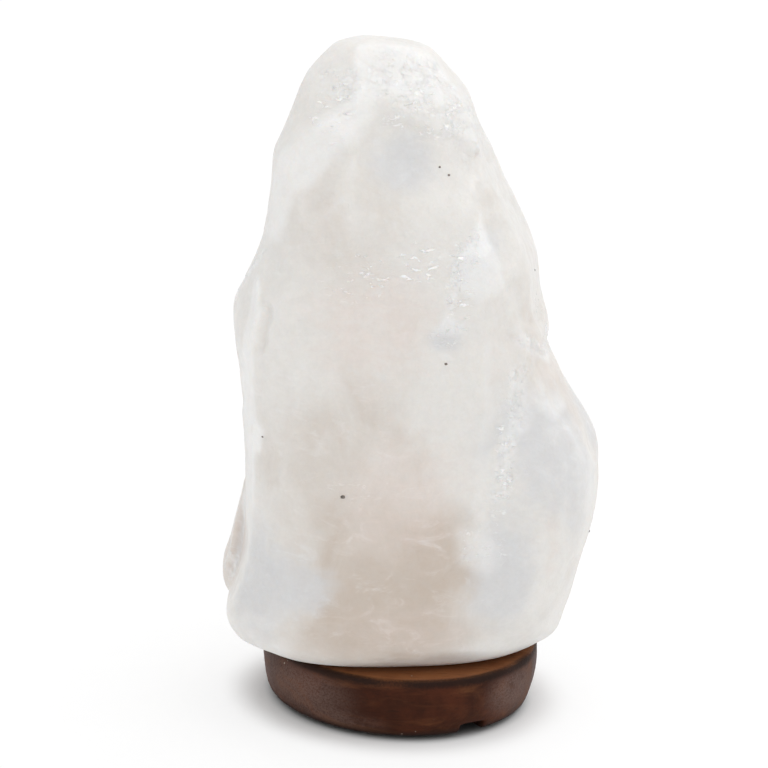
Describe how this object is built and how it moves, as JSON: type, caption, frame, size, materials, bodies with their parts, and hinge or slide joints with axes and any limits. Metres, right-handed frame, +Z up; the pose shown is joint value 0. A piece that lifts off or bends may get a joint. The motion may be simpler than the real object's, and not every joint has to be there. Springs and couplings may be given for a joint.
{
  "type": "salt crystal lamp",
  "caption": "Rough block of white rock salt on a round wooden base, hollowed from below for a small screw bulb whose holder clips into the base.",
  "frame": {"origin": "on the ground, on the axis of the wooden base and the lampholder, which lies within 1.5 mm of the middle of the lamp seen from above", "axes": "+Z up along the base's axis; -Y towards the viewer of the picture, +X to the viewer's right"},
  "size_m": [0.1421, 0.1137, 0.255],
  "materials": {
    "salt": "milky translucent rock salt with a softly glossy, rough broken surface",
    "stained_wood": "turned hardwood stained dark brown, satin and a little worn",
    "felt": "dark felt",
    "plated_steel": "zinc plated steel",
    "holder_plastic": "white thermoplastic, satin",
    "insert_ceramic": "unglazed steatite",
    "brass": "pressed brass",
    "spring_steel": "bright spring steel",
    "clear_glass": "clear glass",
    "stem_glass": "clear pressed glass",
    "nickel_plate": "nickel plated brass",
    "black_glass": "black insulating glass",
    "solder": "dull solder",
    "wire": "nickel wire",
    "tungsten": "coiled tungsten wire"
  },
  "bodies": {
    "lamp_body": {"wooden_base": "stained_wood", "foot_1": "felt", "foot_2": "felt", "foot_3": "felt", "foot_4": "felt", "crystal_screw_1": "plated_steel", "crystal_screw_2": "plated_steel", "crystal_screw_3": "plated_steel", "salt_crystal": "salt"},
    "lampholder": {"holder_cap": "holder_plastic", "holder_sleeve": "holder_plastic", "holder_insert": "insert_ceramic", "screw_shell": "brass", "centre_contact": "brass", "terminal_1": "brass", "terminal_screw_1": "plated_steel", "terminal_2": "brass", "terminal_screw_2": "plated_steel", "retaining_clip": "spring_steel"},
    "bulb_contact_body": {"bulb_contact": "solder"},
    "bulb": {"bulb_glass": "clear_glass", "bulb_cap": "nickel_plate", "bulb_insulator": "black_glass", "bulb_stem": "stem_glass", "lead_wire_1": "wire", "lead_wire_2": "wire", "filament": "tungsten"}
  },
  "joints": [
    {"name": "holder_slide", "type": "slide", "parent": "lamp_body", "child": "lampholder", "axis": [0, 0, -1], "range_m": [0, 0.1]},
    {"name": "bulb_rise", "type": "slide", "parent": "lampholder", "child": "bulb_contact_body", "axis": [0, 0, 1], "range_m": [0, 0.0142]},
    {"name": "bulb_unscrew", "type": "hinge", "parent": "bulb_contact_body", "child": "bulb", "pos_m": [0, 0, 0.05], "axis": [0, 0, 1], "range_deg": [0, 1800]}
  ],
  "couplings": [
    {"joint": "bulb_rise", "follows": "bulb_unscrew", "m_per_rad": 0.00044882}
  ]
}
